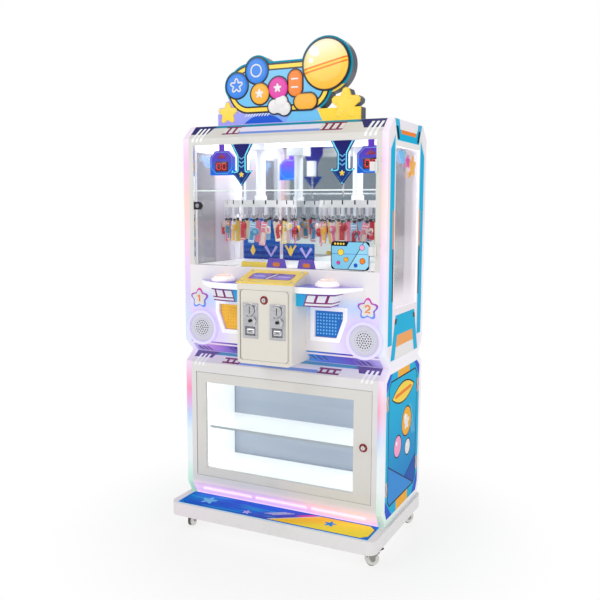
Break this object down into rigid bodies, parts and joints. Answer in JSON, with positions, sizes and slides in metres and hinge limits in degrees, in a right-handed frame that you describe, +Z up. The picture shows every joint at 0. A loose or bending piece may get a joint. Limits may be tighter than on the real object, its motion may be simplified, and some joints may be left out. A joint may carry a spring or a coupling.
{
  "type": "key-fob prize vendor",
  "caption": "Free-standing lit vendor with a glazed play case of turning fob carousels, coin console, prize flaps and a glazed showcase below.",
  "frame": {"origin": "on the floor below the middle of the object's box", "axes": "+Z up, the player stands on the -Y side, +X to the player's right"},
  "size_m": [0.874, 0.57, 1.912],
  "materials": {
    "white_board": "satin",
    "plinth_white": "satin",
    "edge_diffuser": "satin",
    "light_bar": "gloss",
    "side_print": "satin",
    "clear_panel": "gloss",
    "door_white": "satin",
    "liner_white": "gloss",
    "mirror_back": "polished",
    "console_white": "gloss",
    "shelf_purple": "gloss",
    "dome_warm": "gloss",
    "flap_yellow": "satin",
    "flap_blue": "satin",
    "speaker_grey": "satin",
    "ring_light": "gloss",
    "coin_cream": "satin",
    "bezel_yellow": "gloss",
    "mech_metal": "satin",
    "black_plastic": "satin",
    "grey_plastic": "satin",
    "lock_steel": "polished",
    "lock_red": "satin",
    "tray_steel": "satin",
    "case_grey": "satin",
    "fitting_white": "gloss",
    "carousel_white": "gloss",
    "fob_colours": "gloss",
    "sign_blue": "gloss",
    "sign_dark": "satin",
    "sign_print": "gloss",
    "caster_steel": "polished",
    "caster_grey": "matte"
  },
  "bodies": {
    "cabinet": {"base_plinth": "plinth_white", "kick_light_bars": "light_bar", "caster_plates": "caster_steel", "lower_carcass": "white_board", "edge_lights": "edge_diffuser", "side_panels": "side_print", "side_windows": "clear_panel", "showcase_liner": "liner_white", "showcase_shelf": "liner_white", "power_inlet": "black_plastic", "control_unit": "case_grey", "upper_carcass": "white_board", "upper_front_frame": "white_board", "console_panel": "console_white", "play_mirror": "mirror_back", "prize_chutes": "liner_white", "speakers": "speaker_grey", "speaker_rings": "ring_light", "control_shelves": "shelf_purple", "coin_box": "coin_cream", "coin_bezel": "bezel_yellow", "cash_box": "tray_steel", "carousel_drives": "carousel_white", "hanging_signs": "sign_blue", "sign_case": "sign_dark", "sign_face": "sign_print"},
    "showcase_door": {"showcase_door": "door_white", "showcase_glass": "clear_panel"},
    "showcase_lock": {"showcase_lock": "lock_steel"},
    "rear_door": {"rear_door": "white_board"},
    "coin_door": {"coin_door": "coin_cream", "coin_mechs": "mech_metal"},
    "coin_lock": {"coin_lock": "lock_red"},
    "play_door": {"play_door_glass": "clear_panel", "play_door_fittings": "fitting_white"},
    "play_lock": {"play_door_lock": "lock_steel"},
    "prize_flap_left": {"prize_flap_left": "flap_yellow"},
    "start_button_left": {"start_button_left": "dome_warm"},
    "reject_button_left": {"reject_button_left": "black_plastic"},
    "return_flap_left": {"return_flap_left": "grey_plastic"},
    "release_pusher_left": {"release_pusher_left": "caster_steel"},
    "carousel_left": {"carousel_left": "carousel_white", "prizes_left": "fob_colours"},
    "prize_flap_right": {"prize_flap_right": "flap_blue"},
    "start_button_right": {"start_button_right": "dome_warm"},
    "reject_button_right": {"reject_button_right": "black_plastic"},
    "return_flap_right": {"return_flap_right": "grey_plastic"},
    "release_pusher_right": {"release_pusher_right": "caster_steel"},
    "carousel_right": {"carousel_right": "carousel_white", "prizes_right": "fob_colours"},
    "caster_fork_fl": {"caster_fork_fl": "caster_steel"},
    "caster_wheel_fl": {"caster_wheel_fl": "caster_grey"},
    "caster_brake_fl": {"caster_brake_fl": "caster_steel"},
    "caster_fork_fr": {"caster_fork_fr": "caster_steel"},
    "caster_wheel_fr": {"caster_wheel_fr": "caster_grey"},
    "caster_brake_fr": {"caster_brake_fr": "caster_steel"},
    "caster_fork_rl": {"caster_fork_rl": "caster_steel"},
    "caster_wheel_rl": {"caster_wheel_rl": "caster_grey"},
    "caster_fork_rr": {"caster_fork_rr": "caster_steel"},
    "caster_wheel_rr": {"caster_wheel_rr": "caster_grey"}
  },
  "joints": [
    {"name": "play_door_hinge", "type": "hinge", "parent": "cabinet", "child": "play_door", "pos_m": [0.382, -0.159, 1.3025], "axis": [0, 0, 1], "range_deg": [0, 105]},
    {"name": "play_lock_turn", "type": "hinge", "parent": "play_door", "child": "play_lock", "pos_m": [-0.358, -0.155, 1.3025], "axis": [0, 1, 0], "range_deg": [0, 90]},
    {"name": "showcase_door_hinge", "type": "hinge", "parent": "cabinet", "child": "showcase_door", "pos_m": [-0.372, -0.149, 0.4245], "axis": [0, 0, -1], "range_deg": [0, 100]},
    {"name": "showcase_lock_turn", "type": "hinge", "parent": "showcase_door", "child": "showcase_lock", "pos_m": [0.34676, -0.155, 0.4245], "axis": [0, -1, 0], "range_deg": [0, 90]},
    {"name": "rear_door_hinge", "type": "hinge", "parent": "cabinet", "child": "rear_door", "pos_m": [-0.294, 0.279, 0.411], "axis": [0, 0, 1], "range_deg": [0, 100]},
    {"name": "coin_door_hinge", "type": "hinge", "parent": "cabinet", "child": "coin_door", "pos_m": [-0.098, -0.271, 0.867], "axis": [0, 0, -1], "range_deg": [0, 100]},
    {"name": "coin_lock_turn", "type": "hinge", "parent": "coin_door", "child": "coin_lock", "pos_m": [0, -0.275, 0.962], "axis": [0, -1, 0], "range_deg": [0, 90]},
    {"name": "prize_flap_left_hinge", "type": "hinge", "parent": "cabinet", "child": "prize_flap_left", "pos_m": [-0.206, -0.1475, 0.914], "axis": [1, 0, 0], "range_deg": [0, 70]},
    {"name": "start_button_left_press", "type": "slide", "parent": "cabinet", "child": "start_button_left", "axis": [0, 0, -1], "range_m": [0, 0.004], "stiffness_N_per_m": 400, "springref_m": -0.01},
    {"name": "reject_button_left_press", "type": "slide", "parent": "coin_door", "child": "reject_button_left", "axis": [0, 1, 0], "range_m": [0, 0.004], "stiffness_N_per_m": 300, "springref_m": -0.006},
    {"name": "return_flap_left_hinge", "type": "hinge", "parent": "coin_door", "child": "return_flap_left", "pos_m": [-0.056, -0.273, 0.86], "axis": [1, 0, 0], "range_deg": [0, 60]},
    {"name": "carousel_left_turn", "type": "hinge", "parent": "cabinet", "child": "carousel_left", "pos_m": [-0.214, 0.09, 1.32], "axis": [0, 0, 1], "continuous": true},
    {"name": "release_pusher_left_drop", "type": "slide", "parent": "cabinet", "child": "release_pusher_left", "axis": [0, 0, -1], "range_m": [0, 0.012], "stiffness_N_per_m": 150, "springref_m": -0.02},
    {"name": "prize_flap_right_hinge", "type": "hinge", "parent": "cabinet", "child": "prize_flap_right", "pos_m": [0.206, -0.1475, 0.914], "axis": [1, 0, 0], "range_deg": [0, 70]},
    {"name": "start_button_right_press", "type": "slide", "parent": "cabinet", "child": "start_button_right", "axis": [0, 0, -1], "range_m": [0, 0.004], "stiffness_N_per_m": 400, "springref_m": -0.01},
    {"name": "reject_button_right_press", "type": "slide", "parent": "coin_door", "child": "reject_button_right", "axis": [0, 1, 0], "range_m": [0, 0.004], "stiffness_N_per_m": 300, "springref_m": -0.006},
    {"name": "return_flap_right_hinge", "type": "hinge", "parent": "coin_door", "child": "return_flap_right", "pos_m": [0.056, -0.273, 0.86], "axis": [1, 0, 0], "range_deg": [0, 60]},
    {"name": "carousel_right_turn", "type": "hinge", "parent": "cabinet", "child": "carousel_right", "pos_m": [0.214, 0.09, 1.32], "axis": [0, 0, 1], "continuous": true},
    {"name": "release_pusher_right_drop", "type": "slide", "parent": "cabinet", "child": "release_pusher_right", "axis": [0, 0, -1], "range_m": [0, 0.012], "stiffness_N_per_m": 150, "springref_m": -0.02},
    {"name": "caster_swivel_fl", "type": "hinge", "parent": "cabinet", "child": "caster_fork_fl", "pos_m": [-0.385, -0.197, 0.06], "axis": [0, 0, 1], "continuous": true},
    {"name": "caster_roll_fl", "type": "hinge", "parent": "caster_fork_fl", "child": "caster_wheel_fl", "pos_m": [-0.38874, -0.17939, 0.025], "axis": [0.9781, 0.2079, 0], "continuous": true},
    {"name": "caster_brake_fl_pedal", "type": "hinge", "parent": "caster_fork_fl", "child": "caster_brake_fl", "pos_m": [-0.3929, -0.15983, 0.05], "axis": [0.9781, 0.2079, 0], "range_deg": [0, 20]},
    {"name": "caster_swivel_fr", "type": "hinge", "parent": "cabinet", "child": "caster_fork_fr", "pos_m": [0.385, -0.197, 0.06], "axis": [0, 0, 1], "continuous": true},
    {"name": "caster_roll_fr", "type": "hinge", "parent": "caster_fork_fr", "child": "caster_wheel_fr", "pos_m": [0.39838, -0.18496, 0.025], "axis": [0.6691, -0.7431, 0], "continuous": true},
    {"name": "caster_brake_fr_pedal", "type": "hinge", "parent": "caster_fork_fr", "child": "caster_brake_fr", "pos_m": [0.41324, -0.17157, 0.05], "axis": [0.6691, -0.7431, 0], "range_deg": [0, 20]},
    {"name": "caster_swivel_rl", "type": "hinge", "parent": "cabinet", "child": "caster_fork_rl", "pos_m": [-0.385, 0.225, 0.06], "axis": [0, 0, 1], "continuous": true},
    {"name": "caster_roll_rl", "type": "hinge", "parent": "caster_fork_rl", "child": "caster_wheel_rl", "pos_m": [-0.385, 0.243, 0.025], "axis": [1, 0, 0], "continuous": true},
    {"name": "caster_swivel_rr", "type": "hinge", "parent": "cabinet", "child": "caster_fork_rr", "pos_m": [0.385, 0.225, 0.06], "axis": [0, 0, 1], "continuous": true},
    {"name": "caster_roll_rr", "type": "hinge", "parent": "caster_fork_rr", "child": "caster_wheel_rr", "pos_m": [0.394, 0.24059, 0.025], "axis": [0.866, -0.5, 0], "continuous": true}
  ]
}
